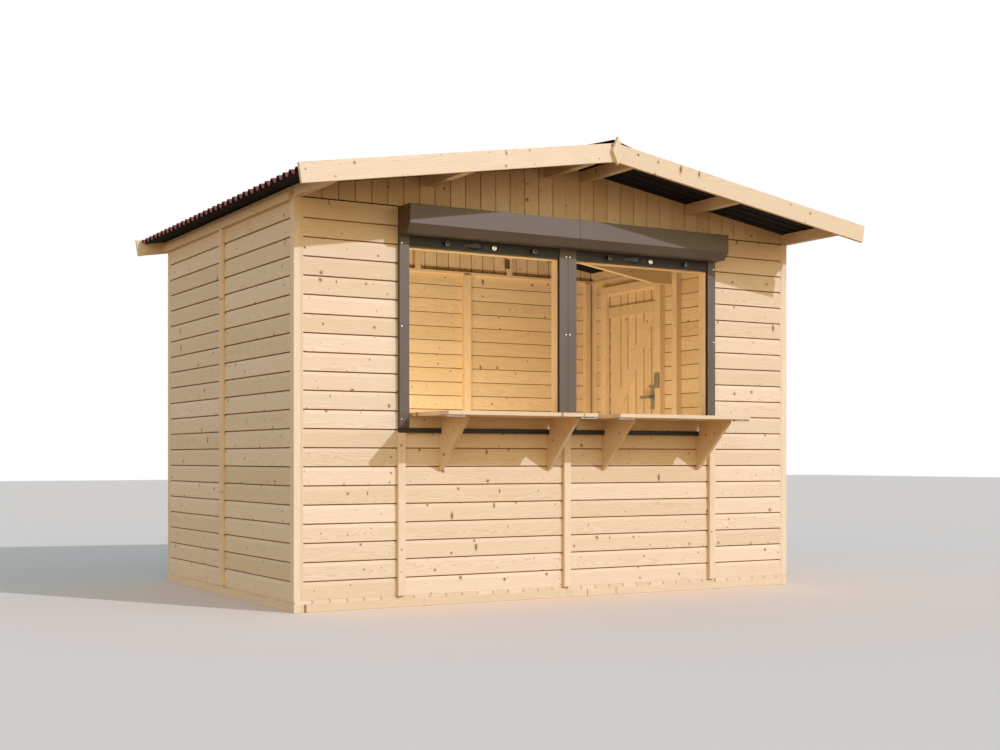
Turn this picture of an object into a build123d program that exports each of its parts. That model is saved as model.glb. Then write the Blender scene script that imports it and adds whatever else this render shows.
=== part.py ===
"""Wooden market stall: a panel-built timber hut with two serving openings, roller shutters and a side door.

The origin is the middle of the footprint on the ground. +X runs along the serving front, to the right of
someone who stands before it, +Y runs from the front to the back and +Z is up. Lengths are in millimetres.
"""

import os
from math import asin, cos, radians, sin, tan

from build123d import *

# Footprint and floor
base_width = 3056
base_depth = 1988
floor_board_thick = 19
joist_height = 38
bearer_width = 38
joist_width = 45
joist_count = 7
panel_joint = 1

# Walls
cladding_thick = 19
stud_depth = 40
stud_pair_width = 50
corner_post = 48
wall_height = 1912
plate_thick = 19
plate_width = 46
rear_joint_from_middle = 478
rear_corner_stud_offset = 72
batten_width = 40
batten_thick = 19
eave_batten_drop = 14

# Serving openings
opening_width = 877
middle_post_half = 53
jamb_post_width = 38
sill_height = 881
opening_height = 834
sill_rail_height = 45
header_rail_height = 58

# Shelves and their brackets
shelf_thick = 19
shelf_overhang = 403
shelf_end_gap = 14
bracket_thick = 19
bracket_depth = 283
bracket_drop = 266
bracket_nose = 12
bracket_inset = (163, 51)
fitting_length = 97
fitting_width = 22
fitting_height = 9
fitting_setback = 22

# Roller shutters
guide_width = 53
guide_depth = 22
groove_width = 13
groove_depth = 25
bottom_rail_height = 24
bottom_rail_drop = 80
box_height = 137
box_depth = 137
box_bottom_above_opening = 58
box_chamfer_depth = 35
box_chamfer_height = 41
box_wall = 2
box_end_cap = 4
curtain_roll_radius = 49
roll_axle_radius = 12
slat_thick = 9
end_slat_above_opening = 5
slat_side_gap = 5
curtain_strip_thick = 6
pull_width = 140
pull_height = 24
pull_depth = 20
lock_radius = 13
stop_radius = 12
stop_length = 28
lock_length = 7
stop_from_left = (205, 716)
pull_from_left = 376
lock_from_left = 484

# Roof
roof_pitch = 9.2
purlin_width = 40
purlin_height = 53
middle_purlin_inner = 788
ridge_purlin_inner = 94.5
front_overhang = 443
rear_overhang = 103
eave_overhang = 125
wave_pitch = 76
wave_height = 28
wave_facets = 6
sheet_thick = 3
sheet_end_gap = 1.5
ridge_cap_flange = 180
ridge_cap_crown = 20
bargeboard_thick = 19
bargeboard_width = 93
bargeboard_above_purlin = 34
bargeboard_past_sheet = 37
ridge_plate_width = 66
ridge_plate_height = 143
ridge_plate_thick = 19
ridge_plate_below_ridge = 42
truss_thick = 38
truss_seat_length = 180
rafter_depth = 151
gable_stud_width = 40
seat_gap = 0.3

# Door in the right-hand wall
door_width = 570
door_height = 1791
door_gap = 5
door_floor_gap = 7
door_from_rear = 218
door_jamb_width = 52
door_head_height = 50
door_stop = 7
ledge_thick = 19
ledge_width = 71
ledge_end_gap = 16
bottom_ledge = 116
ledge_under_door_top = 87
ledge_under_lock = 54
brace_width = 84
brace_inset = 12
strap_length = 300
strap_thick = 3
strap_root = 40
strap_tip = 26
jamb_plate_width = 34
jamb_plate_height = 120
knuckle_radius = 6
knuckle_height = 34
knuckle_gap = 0.4
pin_radius = 3
pin_clearance = 0.3
knuckle_sink = 1
lock_case_width = 50
lock_case_height = 160
lock_case_thick = 30
lock_plate_width = 40
lock_plate_thick = 3
lock_edge_gap = 10
handle_height = 1078
handle_setback = 34
spindle_radius = 9.7
spindle_clearance = 0.3
lever_length = 105
lever_width = 20
lever_thick = 11
lever_standoff = 26
keeper_width = 42
keeper_height = 96
keeper_thick = 14
keeper_above_handle = 103

# Places that follow from the sizes above
half_width = base_width / 2
half_depth = base_depth / 2
floor_top = joist_height + floor_board_thick
wall_top = floor_top + wall_height
cladding_top = wall_top - plate_thick
middle_ledge = handle_height - door_floor_gap - lock_case_height / 2 - ledge_under_lock - ledge_width
top_ledge = door_height - ledge_under_door_top - ledge_width
ledge_heights = (bottom_ledge, middle_ledge, top_ledge)
post_inner_x = half_width - corner_post
post_inner_y = half_depth - corner_post
stud_outer_x = half_width - cladding_thick
stud_outer_y = half_depth - cladding_thick
stud_inner_x = stud_outer_x - stud_depth
stud_inner_y = stud_outer_y - stud_depth
opening_outer = middle_post_half + opening_width
door_front_edge = half_depth - door_from_rear - door_width
panel_edge = opening_outer + jamb_post_width
sill_top = floor_top + sill_height
opening_top = sill_top + opening_height
front_face = -half_depth
rise = tan(radians(roof_pitch))
os.makedirs("parts", exist_ok=True)


def save(piece, label):
    piece.part.label = label
    export_step(piece.part, f"parts/{label}.step")


def timber(label, pieces):
    """One node of sawn pieces, each given by its low and high corner."""
    with BuildPart() as piece:
        for (x0, y0, z0), (x1, y1, z1) in pieces:
            with BuildSketch(Plane.XY.offset(z0)):
                with Locations(((x0 + x1) / 2, (y0 + y1) / 2)):
                    Rectangle(x1 - x0, y1 - y0)
            extrude(amount=z1 - z0)
    save(piece, label)


def both_sides(x0, x1, y0, y1, z0, z1):
    """The same piece on the left and on the right of the middle."""
    return [((x0, y0, z0), (x1, y1, z1)), ((-x1, y0, z0), (-x0, y1, z1))]


def make_floor():
    joist_spacing = (base_depth - joist_width) / (joist_count - 1)
    joist_length = half_width - 2 * bearer_width
    with BuildPart() as frame:
        with BuildSketch():
            with Locations((bearer_width / 2 - half_width, 0), (0, 0), (half_width - bearer_width / 2, 0)):
                Rectangle(bearer_width, base_depth)
            Rectangle(2 * bearer_width, base_depth)
        extrude(amount=joist_height)
        with BuildSketch():
            with GridLocations(half_width, joist_spacing, 2, joist_count):
                Rectangle(joist_length, joist_width)
        extrude(amount=joist_height)
    save(frame, "floor_frame")
    boards = ((-half_width, -half_depth, joist_height), (half_width, half_depth, floor_top))
    timber("floor_boards", [boards])


def make_posts_and_plates():
    posts = []
    plates = []
    for y0, y1 in ((-half_depth, -post_inner_y), (post_inner_y, half_depth)):
        posts += both_sides(post_inner_x, half_width, y0, y1, floor_top, wall_top)
    for y0, y1 in ((-half_depth, -half_depth + plate_width), (half_depth - plate_width, half_depth)):
        plates.append(((-post_inner_x, y0, cladding_top), (post_inner_x, y1, wall_top)))
    inner = half_width - plate_width
    plates += both_sides(inner, half_width, -post_inner_y, post_inner_y, cladding_top, wall_top)
    timber("corner_posts", posts)
    timber("top_plates", plates)


def make_front_wall():
    back = -stud_outer_y
    side_panels = both_sides(panel_edge, post_inner_x, front_face, back, floor_top, cladding_top)
    timber("front_side_panels", side_panels)
    timber("front_apron", [((-panel_edge, front_face, floor_top), (panel_edge, back, sill_top))])
    timber("front_lintel", [((-panel_edge, front_face, opening_top), (panel_edge, back, cladding_top))])
    strips = both_sides(opening_outer, panel_edge, front_face, back, sill_top, opening_top)
    strips.append(((-middle_post_half, front_face, sill_top), (middle_post_half, back, opening_top)))
    timber("front_jamb_boards", strips)
    posts = both_sides(opening_outer, panel_edge, back, -stud_inner_y, floor_top, cladding_top)
    posts.append(((-middle_post_half, back, floor_top), (middle_post_half, -stud_inner_y, cladding_top)))
    timber("opening_posts", posts)
    sills = both_sides(
        middle_post_half, opening_outer, back, -stud_inner_y, sill_top - sill_rail_height, sill_top
    )
    headers = both_sides(
        middle_post_half, opening_outer, back, -stud_inner_y, opening_top, opening_top + header_rail_height
    )
    timber("opening_rails", sills + headers)


def make_side_and_rear_walls():
    left = ((-half_width, -post_inner_y, floor_top), (-stud_outer_x, post_inner_y, cladding_top))
    timber("left_wall", [left])
    rear = ((-post_inner_x, stud_outer_y, floor_top), (post_inner_x, half_depth, cladding_top))
    timber("rear_wall", [rear])
    way_front = door_front_edge - door_gap
    way_rear = door_front_edge + door_width + door_gap
    way_top = floor_top + door_floor_gap + door_height + door_gap
    beside = [
        ((stud_outer_x, -post_inner_y, floor_top), (half_width, way_front, cladding_top)),
        ((stud_outer_x, way_rear, floor_top), (half_width, post_inner_y, cladding_top)),
    ]
    timber("right_wall", beside)
    over_door = ((stud_outer_x, way_front, way_top), (half_width, way_rear, cladding_top))
    timber("right_wall_over_door", [over_door])


def make_studs():
    """Studs behind every panel joint and corner, and the short studs of the gables under the purlins."""
    half_pair = stud_pair_width / 2
    studs = []
    for middle in (-rear_joint_from_middle, rear_joint_from_middle):
        low = (middle - half_pair, stud_inner_y, floor_top)
        studs.append((low, (middle + half_pair, stud_outer_y, cladding_top)))
    corner = half_width - rear_corner_stud_offset
    studs += both_sides(corner - stud_depth, corner, stud_inner_y, stud_outer_y, floor_top, cladding_top)
    studs += both_sides(corner - stud_depth, corner, -stud_outer_y, -stud_inner_y, floor_top, cladding_top)
    studs += both_sides(stud_inner_x, stud_outer_x, -half_pair, half_pair, floor_top, cladding_top)
    for y0, y1 in ((-half_depth, -half_depth + plate_width), (half_depth - plate_width, half_depth)):
        inside = (y0 + cladding_thick, y1) if y0 < 0 else (y0, y1 - cladding_thick)
        for inner in (ridge_purlin_inner, middle_purlin_inner):
            under_purlin = purlin_bottom(inner)
            studs += both_sides(inner, inner + gable_stud_width, *inside, wall_top, under_purlin)
    timber("studs", studs)


def make_battens():
    half = batten_width / 2
    sill_frame_bottom = sill_top - bottom_rail_drop
    battens = []
    for middle in (-panel_edge, 0, panel_edge):
        low = (middle - half, front_face - batten_thick, floor_top)
        battens.append((low, (middle + half, front_face, sill_frame_bottom)))
    eave_bottom = wall_top - eave_batten_drop
    outside = half_width + batten_thick
    battens += both_sides(half_width, outside, -half, half, floor_top, eave_bottom - panel_joint)
    for middle in (-rear_joint_from_middle, rear_joint_from_middle):
        low = (middle - half, half_depth, floor_top)
        battens.append((low, (middle + half, half_depth + batten_thick, wall_top)))
    timber("joint_battens", battens)
    eave_top = eave_bottom + batten_width
    eaves = both_sides(half_width, outside, -stud_outer_y, stud_outer_y, eave_bottom, eave_top)
    timber("eave_battens", eaves)


def purlin_bottom(inner):
    return wall_top + rise * (half_width - inner - purlin_width)


def purlin_line(x):
    """Height of the purlins' bevelled top faces, on which the sheets lie."""
    return wall_top + purlin_height + rise * (half_width - abs(x))


purlin_inners = (half_width - purlin_width, middle_purlin_inner, ridge_purlin_inner)


def cut_purlin_seats():
    """Cuts the sections of all purlins out of the sketch being drawn."""
    for inner in purlin_inners:
        bottom = purlin_bottom(inner)
        for side in (-1, 1):
            with Locations((side * (inner + purlin_width / 2), bottom + purlin_height)):
                Rectangle(purlin_width, 2 * purlin_height, mode=Mode.SUBTRACT)


def make_gables():
    for label, plane_y in (("front_gable", -stud_outer_y), ("rear_gable", half_depth)):
        with BuildPart() as gable:
            with BuildSketch(Plane.XZ.offset(-plane_y)):
                with BuildLine():
                    Polyline(
                        (-half_width, wall_top),
                        (half_width, wall_top),
                        (half_width, purlin_line(half_width)),
                        (0, purlin_line(0)),
                        (-half_width, purlin_line(half_width)),
                        close=True,
                    )
                make_face()
                cut_purlin_seats()
            extrude(amount=cladding_thick)
        save(gable, label)


def make_purlins():
    for label, inners in (("outer_purlins", purlin_inners[:2]), ("ridge_purlins", purlin_inners[2:])):
        with BuildPart() as purlins:
            with BuildSketch(Plane.XZ.offset(half_depth + front_overhang)):
                for inner in inners:
                    outer = inner + purlin_width
                    for side in (-1, 1):
                        with BuildLine():
                            Polyline(
                                (side * inner, purlin_bottom(inner)),
                                (side * outer, purlin_bottom(inner)),
                                (side * outer, purlin_line(outer)),
                                (side * inner, purlin_line(inner)),
                                close=True,
                            )
                        make_face()
            extrude(amount=-(base_depth + front_overhang + rear_overhang))
        save(purlins, label)


def make_middle_truss():
    """Two rafters meeting at the ridge, with level seats at the walls and the purlins let into them."""

    def top_line(x):
        return wall_top + rise * (half_width - x)

    seat_end = stud_outer_x - truss_seat_length
    seat_underside = top_line(seat_end) - rafter_depth
    under_ridge = top_line(0) - rafter_depth
    stud_side = stud_pair_width / 2

    with BuildPart() as truss:
        with BuildSketch(Plane.XZ.offset(-stud_side)):
            with BuildLine():
                Polyline(
                    (-stud_outer_x, seat_underside),
                    (-seat_end, seat_underside),
                    (0, under_ridge),
                    (seat_end, seat_underside),
                    (stud_outer_x, seat_underside),
                    (stud_outer_x, cladding_top),
                    (half_width - plate_width, cladding_top),
                    (half_width - plate_width, top_line(half_width - plate_width)),
                    (0, top_line(0)),
                    (plate_width - half_width, top_line(half_width - plate_width)),
                    (plate_width - half_width, cladding_top),
                    (-stud_outer_x, cladding_top),
                    close=True,
                )
            make_face()
            cut_purlin_seats()
        extrude(amount=-truss_thick)
    save(truss, "middle_truss")


def make_roof_sheets():
    """Corrugated sheets, whose crests and troughs are arcs that meet tangentially, drawn in short facets."""
    run = base_depth + front_overhang + rear_overhang - 2 * sheet_end_gap
    half_waves = 2 * int(run / wave_pitch) + 1
    half_pitch = run / half_waves
    radius = (half_pitch**2 + wave_height**2) / (4 * wave_height)
    centre_drop = radius - wave_height / 2
    half_angle = asin(half_pitch / 2 / radius)
    start = -half_depth - front_overhang + sheet_end_gap
    slope = radians(roof_pitch)
    eave_x = -half_width - eave_overhang
    ridge_x = -sheet_thick - panel_joint
    seat = wave_height / 2 + sheet_thick / 2 + seat_gap

    def wave_face(face):
        """Points along the outer face (1) or the inner face (-1). Both keep the arcs' own centres."""
        points = []
        for index in range(half_waves):
            crest = 1 if index % 2 == 0 else -1
            face_radius = radius + face * crest * sheet_thick / 2
            first = 0 if index == 0 else 1
            for step in range(first, wave_facets + 1):
                angle = half_angle * (2 * step / wave_facets - 1)
                along = (index + 0.5) * half_pitch + face_radius * sin(angle)
                points.append((along, crest * (face_radius * cos(angle) - centre_drop)))
        return points

    origin = (eave_x - sin(slope) * seat, start, purlin_line(eave_x) + cos(slope) * seat)
    sheet_plane = Plane(origin=origin, x_dir=(0, 1, 0), z_dir=(cos(slope), 0, sin(slope)))
    with BuildPart() as left_sheet:
        with BuildSketch(sheet_plane):
            with BuildLine():
                Polyline(*wave_face(1), *reversed(wave_face(-1)), close=True)
            make_face()
        extrude(amount=(ridge_x - eave_x) / cos(slope))
    save(left_sheet, "roof_sheet_left")
    with BuildPart() as right_sheet:
        add(left_sheet.part.mirror(Plane.YZ))
    save(right_sheet, "roof_sheet_right")


def make_ridge_cap():
    slope = radians(roof_pitch)
    lift = (wave_height + sheet_thick + 2 * seat_gap) / cos(slope)
    reach = ridge_cap_flange * cos(slope)
    plumb_thick = sheet_thick / cos(slope)
    with BuildPart() as cap:
        with BuildSketch(Plane.XZ.offset(half_depth + front_overhang)):
            with BuildLine():
                Polyline(
                    (-reach, purlin_line(reach) + lift),
                    (0, purlin_line(0) + lift + ridge_cap_crown),
                    (reach, purlin_line(reach) + lift),
                    (reach, purlin_line(reach) + lift + plumb_thick),
                    (0, purlin_line(0) + lift + ridge_cap_crown + plumb_thick),
                    (-reach, purlin_line(reach) + lift + plumb_thick),
                    close=True,
                )
            make_face()
        extrude(amount=-(base_depth + front_overhang + rear_overhang))
    save(cap, "ridge_cap")


def make_bargeboards():
    slope = radians(roof_pitch)
    end_x = half_width + eave_overhang + bargeboard_past_sheet
    plumb_width = bargeboard_width / cos(slope)
    square_cut = bargeboard_width * sin(slope)
    front_plane = half_depth + front_overhang + bargeboard_thick
    rear_plane = -half_depth - rear_overhang

    def top(x):
        return purlin_line(x) + bargeboard_above_purlin

    for label, side in (("bargeboards_left", -1), ("bargeboards_right", 1)):
        with BuildPart() as boards:
            for offset in (front_plane, rear_plane):
                with BuildSketch(Plane.XZ.offset(offset)):
                    with BuildLine():
                        Polyline(
                            (0, top(0)),
                            (side * end_x, top(end_x)),
                            (side * (end_x - square_cut), top(end_x - square_cut) - plumb_width),
                            (0, top(0) - plumb_width),
                            close=True,
                        )
                    make_face()
                extrude(amount=-bargeboard_thick)
        save(boards, label)
    with BuildPart() as plates:
        middle = top(0) - ridge_plate_below_ridge
        for offset in (front_plane + ridge_plate_thick, rear_plane - bargeboard_thick):
            with BuildSketch(Plane.XZ.offset(offset)):
                with BuildLine():
                    Polyline(
                        (0, middle + ridge_plate_height / 2),
                        (ridge_plate_width / 2, middle),
                        (0, middle - ridge_plate_height / 2),
                        (-ridge_plate_width / 2, middle),
                        close=True,
                    )
                make_face()
            extrude(amount=-ridge_plate_thick)
    save(plates, "ridge_plates")


def make_shutters():
    frame_edge = opening_outer + guide_width
    rail_bottom = sill_top - bottom_rail_drop
    rail_top = rail_bottom + bottom_rail_height
    box_bottom = opening_top + box_bottom_above_opening
    box_top = box_bottom + box_height
    box_front = front_face - box_depth
    rail = ((-frame_edge, front_face - guide_depth, rail_bottom), (frame_edge, front_face, rail_top))
    timber("shutter_bottom_rail", [rail])

    groove_middle = front_face - guide_depth / 2
    with BuildPart() as guides:
        with BuildSketch(Plane.XY.offset(rail_top)):
            for side in (-1, 1):
                for inner, groove_at in ((opening_outer, 0), (panel_joint / 2, 1)):
                    outer = frame_edge if groove_at == 0 else guide_width
                    with Locations((side * (inner + outer) / 2, groove_middle)):
                        Rectangle(outer - inner, guide_depth)
                    mouth = inner + groove_depth / 2 if groove_at == 0 else outer - groove_depth / 2
                    with Locations((side * mouth, groove_middle)):
                        Rectangle(groove_depth, groove_width, mode=Mode.SUBTRACT)
        extrude(amount=box_bottom - rail_top)
    save(guides, "shutter_guides")

    def box_outline(inset):
        return (
            (front_face - inset, box_bottom + inset),
            (front_face - inset, box_top - inset),
            (box_front + inset, box_top - inset),
            (box_front + inset, box_bottom + box_chamfer_height + inset / 2),
            (box_front + box_chamfer_depth + inset / 2, box_bottom + inset),
        )

    for label, side in (("shutter_box_left", -1), ("shutter_box_right", 1)):
        near, far = panel_joint / 2, frame_edge
        low = min(side * near, side * far)
        with BuildPart() as box:
            with BuildSketch(Plane.YZ.offset(low)):
                with BuildLine():
                    Polyline(*box_outline(0), close=True)
                make_face()
            extrude(amount=far - near)
            with BuildSketch(Plane.YZ.offset(low + box_end_cap)):
                with BuildLine():
                    Polyline(*box_outline(box_wall), close=True)
                make_face()
            extrude(amount=far - near - 2 * box_end_cap, mode=Mode.SUBTRACT)
            with BuildSketch(Plane.XY.offset(box_bottom)):
                with Locations((side * (near + far) / 2, groove_middle)):
                    Rectangle(far - near - 2 * box_end_cap, groove_width)
            extrude(amount=box_wall, mode=Mode.SUBTRACT)
        save(box, label)

    roll_axis_y = groove_middle - curtain_strip_thick / 2 - seat_gap - curtain_roll_radius
    roll_axis_z = box_bottom + box_height / 2
    slat_bottom = opening_top + end_slat_above_opening
    slat_middle_z = (slat_bottom + box_bottom) / 2
    slat_length = opening_width + 2 * (groove_depth - slat_side_gap)
    with BuildPart() as curtains:
        for side in (-1, 1):
            near = panel_joint / 2 + box_end_cap
            far = frame_edge - box_end_cap
            low = min(side * near, side * far)
            with BuildSketch(Plane.YZ.offset(low)):
                with Locations((roll_axis_y, roll_axis_z)):
                    Circle(roll_axle_radius)
            extrude(amount=far - near)
            roll_low = min(side * middle_post_half, side * opening_outer)
            with BuildSketch(Plane.YZ.offset(roll_low)):
                with Locations((roll_axis_y, roll_axis_z)):
                    Circle(curtain_roll_radius)
            extrude(amount=opening_width)
            with BuildSketch(Plane.XZ.offset(-groove_middle + slat_thick / 2)):
                with Locations((side * (middle_post_half + opening_outer) / 2, slat_middle_z)):
                    Rectangle(slat_length, box_bottom - slat_bottom)
            extrude(amount=-slat_thick)
            with BuildSketch(Plane.XZ.offset(-groove_middle + curtain_strip_thick / 2)):
                with Locations((side * (middle_post_half + opening_outer) / 2, box_bottom + box_height / 4)):
                    Rectangle(opening_width, box_height / 2)
            extrude(amount=-curtain_strip_thick)
    save(curtains, "shutter_curtains")

    slat_front = groove_middle - slat_thick / 2
    with BuildPart() as fittings:
        for opening_left in (-opening_outer, middle_post_half):
            for centre in stop_from_left:
                with BuildSketch(Plane.XZ.offset(-slat_front)):
                    with Locations((opening_left + centre, slat_middle_z)):
                        Circle(stop_radius)
                extrude(amount=stop_length)
            with BuildSketch(Plane.XZ.offset(-slat_front)):
                with Locations((opening_left + lock_from_left, slat_middle_z)):
                    Circle(lock_radius)
            extrude(amount=lock_length)
            with BuildSketch(Plane.XZ.offset(-slat_front)):
                with Locations((opening_left + pull_from_left, slat_middle_z)):
                    RectangleRounded(pull_width, pull_height, pull_height / 3)
            extrude(amount=pull_depth, taper=12)
    save(fittings, "shutter_fittings")


def make_shelves():
    ends = []
    shelves = []
    for opening_left in (-opening_outer, middle_post_half):
        left = opening_left + shelf_end_gap
        right = opening_left + opening_width - shelf_end_gap
        ends.append((left, right))
        low = (left, front_face - shelf_overhang, sill_top)
        shelves.append((low, (right, -stud_inner_y, sill_top + shelf_thick)))
    timber("shelves", shelves)

    rail_bottom = sill_top - bottom_rail_drop
    rail_front = front_face - guide_depth
    with BuildPart() as brackets:
        for left, right in ends:
            for bracket_left in (left + bracket_inset[0], right - bracket_inset[1]):
                with BuildSketch(Plane.YZ.offset(bracket_left)):
                    with BuildLine():
                        Polyline(
                            (front_face, sill_top - bracket_drop),
                            (front_face, rail_bottom - panel_joint),
                            (rail_front - panel_joint, rail_bottom - panel_joint),
                            (rail_front - panel_joint, sill_top),
                            (front_face - bracket_depth, sill_top),
                            (front_face - bracket_depth, sill_top - bracket_nose),
                            (front_face - bracket_nose, sill_top - bracket_drop),
                            close=True,
                        )
                    make_face()
                extrude(amount=bracket_thick)
    save(brackets, "shelf_brackets")

    # Galvanised bars under the front corners, each bridging between two small feet.
    foot = fitting_height / 3
    with BuildPart() as fittings:
        for left, right in ends:
            for start in (left, right - fitting_length):
                middle = start + fitting_length / 2
                near = front_face - shelf_overhang + fitting_setback
                with BuildSketch(Plane.XZ.offset(-near + fitting_width / 2)):
                    with Locations((middle, sill_top - fitting_height / 2)):
                        Rectangle(fitting_length, fitting_height)
                    with Locations((middle, sill_top - foot / 2)):
                        Rectangle(fitting_length - 4 * fitting_height, foot, mode=Mode.SUBTRACT)
                extrude(amount=-fitting_width)
    save(fittings, "shelf_fittings")


def make_door():
    front, rear = door_front_edge, door_front_edge + door_width
    way_front, way_rear = front - door_gap, rear + door_gap
    bottom = floor_top + door_floor_gap
    top = bottom + door_height
    way_top = top + door_gap
    stop_face = stud_outer_x - door_gap

    with BuildPart() as jambs:
        for jamb_y, stop_y in (
            (way_front - door_jamb_width / 2, way_front + door_stop / 2),
            (way_rear + door_jamb_width / 2, way_rear - door_stop / 2),
        ):
            with BuildSketch(Plane.XY.offset(floor_top)):
                with Locations(((stud_inner_x + stud_outer_x) / 2, jamb_y)):
                    Rectangle(stud_depth, door_jamb_width)
                with Locations(((stud_inner_x + stop_face) / 2, stop_y)):
                    Rectangle(stop_face - stud_inner_x, door_stop)
            extrude(amount=way_top - floor_top)
    save(jambs, "door_jambs")
    head_low = (stud_inner_x, way_front - door_jamb_width, way_top)
    timber("door_head", [(head_low, (stud_outer_x, way_rear + door_jamb_width, way_top + door_head_height))])

    spindle_y = front + handle_setback
    spindle_z = floor_top + handle_height
    bore = spindle_radius + spindle_clearance
    with BuildPart() as leaf:
        with BuildSketch(Plane.YZ.offset(stud_outer_x)):
            with Locations(((front + rear) / 2, (bottom + top) / 2)):
                Rectangle(door_width, door_height)
            with Locations((spindle_y, spindle_z)):
                Circle(bore, mode=Mode.SUBTRACT)
        extrude(amount=cladding_thick)
    save(leaf, "door_leaf")

    ledge_front, ledge_rear = front + ledge_end_gap, rear - ledge_end_gap
    ledge_inner = stud_outer_x - ledge_thick
    ledges = []
    for height in ledge_heights:
        low = (ledge_inner, ledge_front, bottom + height)
        ledges.append((low, (stud_outer_x, ledge_rear, bottom + height + ledge_width)))
    timber("door_ledges", ledges)

    with BuildPart() as braces:
        for lower, upper in zip(ledge_heights[:-1], ledge_heights[1:]):
            foot_z = bottom + lower + ledge_width
            head_z = bottom + upper
            with BuildSketch(Plane.YZ.offset(ledge_inner)):
                with BuildLine():
                    Polyline(
                        (ledge_rear - brace_inset, foot_z),
                        (ledge_front + brace_inset + brace_width, head_z),
                        (ledge_front + brace_inset, head_z),
                        (ledge_rear - brace_inset - brace_width, foot_z),
                        close=True,
                    )
                make_face()
            extrude(amount=ledge_thick)
    save(braces, "door_braces")

    make_hinges(rear, bottom)
    make_lock(spindle_y, spindle_z, bore)
    keeper_z = spindle_z + keeper_above_handle
    keeper_rear = way_front - door_gap
    keeper_low = (stud_inner_x - keeper_thick, keeper_rear - keeper_width, keeper_z - keeper_height / 2)
    timber("door_keeper", [(keeper_low, (stud_inner_x, keeper_rear, keeper_z + keeper_height / 2))])


def make_hinges(leaf_rear, leaf_bottom):
    """Two T-hinges on the outer face. The pin is fixed to the jamb plate, and the strap turns on it."""
    plate_face = half_width + strap_thick
    axis_x = plate_face + knuckle_radius - knuckle_sink
    axis_y = leaf_rear + door_gap / 2
    middles = [leaf_bottom + height + ledge_width / 2 for height in (ledge_heights[0], ledge_heights[-1])]
    with BuildPart() as straps:
        for middle in middles:
            with BuildSketch(Plane.YZ.offset(half_width)):
                with BuildLine():
                    Polyline(
                        (axis_y - knuckle_radius - knuckle_sink, middle - strap_root / 2),
                        (axis_y - knuckle_radius - knuckle_sink, middle + strap_root / 2),
                        (leaf_rear - strap_length, middle + strap_tip / 2),
                        (leaf_rear - strap_length, middle - strap_tip / 2),
                        close=True,
                    )
                make_face()
                with Locations((leaf_rear - strap_length, middle)):
                    Circle(strap_tip / 2)
                with Locations((axis_y - knuckle_radius, middle)):
                    Rectangle(2 * knuckle_radius, knuckle_height)
            extrude(amount=strap_thick)
            with BuildSketch(Plane.XY.offset(middle - knuckle_height / 2)):
                with Locations((axis_x, axis_y)):
                    Circle(knuckle_radius)
            extrude(amount=knuckle_height)
            with BuildSketch(Plane.XY.offset(middle - knuckle_height / 2)):
                with Locations((axis_x, axis_y)):
                    Circle(pin_radius + pin_clearance)
            extrude(amount=knuckle_height, mode=Mode.SUBTRACT)
    save(straps, "door_hinges")

    end_height = (jamb_plate_height - knuckle_height) / 2 - knuckle_gap
    plate_start = axis_y + knuckle_radius + knuckle_sink
    with BuildPart() as plates:
        for middle in middles:
            with BuildSketch(Plane.YZ.offset(half_width)):
                with Locations((plate_start + jamb_plate_width / 2, middle)):
                    Rectangle(jamb_plate_width, jamb_plate_height)
                for end in (-1, 1):
                    end_z = middle + end * (jamb_plate_height - end_height) / 2
                    with Locations((plate_start - knuckle_radius / 2, end_z)):
                        Rectangle(knuckle_radius + 2 * knuckle_sink, end_height)
            extrude(amount=strap_thick)
            for end_low in (middle - jamb_plate_height / 2, middle + jamb_plate_height / 2 - end_height):
                with BuildSketch(Plane.XY.offset(end_low)):
                    with Locations((axis_x, axis_y)):
                        Circle(knuckle_radius)
                extrude(amount=end_height)
            with BuildSketch(Plane.XY.offset(middle - jamb_plate_height / 2)):
                with Locations((axis_x, axis_y)):
                    Circle(pin_radius)
            extrude(amount=jamb_plate_height)
    save(plates, "hinge_plates")
    print("hinge axis", axis_x, axis_y)


def make_lock(spindle_y, spindle_z, bore):
    case_inner = stud_outer_x - lock_case_thick
    case_front = door_front_edge + lock_edge_gap
    with BuildPart() as lock:
        with BuildSketch(Plane.YZ.offset(case_inner)):
            with Locations((case_front + lock_case_width / 2, spindle_z)):
                Rectangle(lock_case_width, lock_case_height)
            with Locations((spindle_y, spindle_z)):
                Circle(bore, mode=Mode.SUBTRACT)
        extrude(amount=lock_case_thick)
        with BuildSketch(Plane.YZ.offset(half_width)):
            with Locations((spindle_y, spindle_z)):
                RectangleRounded(lock_plate_width, lock_case_height, lock_plate_width / 4)
                Circle(bore, mode=Mode.SUBTRACT)
        extrude(amount=lock_plate_thick)
    save(lock, "door_lock")

    inner_lever = case_inner - lever_standoff - lever_thick
    outer_lever = half_width + lock_plate_thick + lever_standoff
    with BuildPart() as handle:
        with BuildSketch(Plane.YZ.offset(inner_lever)):
            with Locations((spindle_y, spindle_z)):
                Circle(spindle_radius)
        extrude(amount=outer_lever + lever_thick - inner_lever)
        for lever_face in (inner_lever, outer_lever):
            with BuildSketch(Plane.YZ.offset(lever_face)):
                with Locations((spindle_y + (lever_length - lever_width) / 2, spindle_z)):
                    SlotOverall(lever_length, lever_width)
            extrude(amount=lever_thick)
    save(handle, "door_handle")
    print("spindle axis", spindle_y, spindle_z)


make_floor()
make_posts_and_plates()
make_front_wall()
make_side_and_rear_walls()
make_studs()
make_battens()
make_gables()
make_purlins()
make_middle_truss()
make_roof_sheets()
make_ridge_cap()
make_bargeboards()
make_shutters()
make_shelves()
make_door()
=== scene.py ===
# Wooden market stall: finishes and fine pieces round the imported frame.
# Lengths are in metres, unless a name or a note says mm. x runs along the front, y to the back, z up.
import functools
import math
import random

import bmesh
import bpy
from mathutils import Matrix, Vector


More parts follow.
